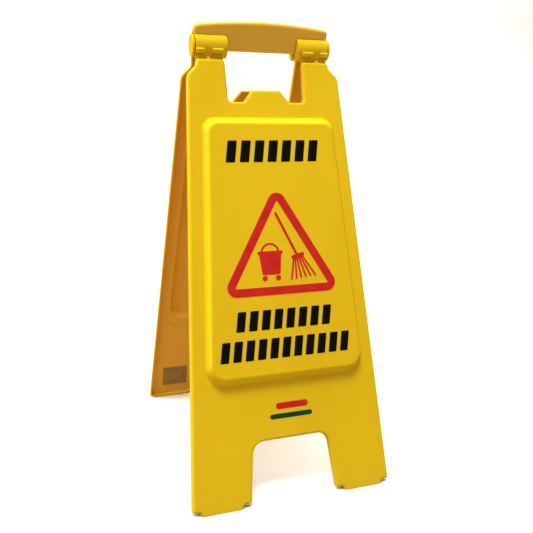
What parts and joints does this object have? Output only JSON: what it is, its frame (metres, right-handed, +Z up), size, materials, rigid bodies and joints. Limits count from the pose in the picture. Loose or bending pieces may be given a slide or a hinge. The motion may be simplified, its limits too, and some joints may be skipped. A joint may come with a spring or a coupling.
{
  "type": "wet floor sign",
  "caption": "Folding A-frame floor caution sign in yellow plastic, with raised printed panels, leg cut-outs, a hinged top and a moulded carry handle.",
  "frame": {"origin": "on the floor, midway between the four feet", "axes": "+Z up, the front leaf faces -Y, +X to the right when seen from the front"},
  "size_m": [0.271, 0.3532, 0.5985],
  "materials": {
    "yellow_plastic": "semi-gloss moulded",
    "pin_plastic": "semi-gloss moulded",
    "black_ink": "printed film",
    "red_ink": "printed film",
    "green_ink": "printed film",
    "label_stock": "blank label"
  },
  "bodies": {
    "rear_leaf": {"rear_leaf": "yellow_plastic", "hinge_pin_left": "pin_plastic", "hinge_pin_right": "pin_plastic", "label_plate": "label_stock", "rear_header_print": "black_ink", "rear_footer_print": "black_ink", "rear_triangle_print": "red_ink", "rear_pictogram_print": "red_ink", "rear_mark_upper_print": "red_ink", "rear_mark_lower_print": "green_ink"},
    "front_leaf": {"front_leaf": "yellow_plastic", "front_header_print": "black_ink", "front_footer_print": "black_ink", "front_triangle_print": "red_ink", "front_pictogram_print": "red_ink", "front_mark_upper_print": "red_ink", "front_mark_lower_print": "green_ink"}
  },
  "joints": [
    {"name": "leaf_fold", "type": "hinge", "parent": "rear_leaf", "child": "front_leaf", "pos_m": [0, 0, 0.56641], "axis": [1, 0, 0], "range_deg": [0, 32.4]}
  ]
}
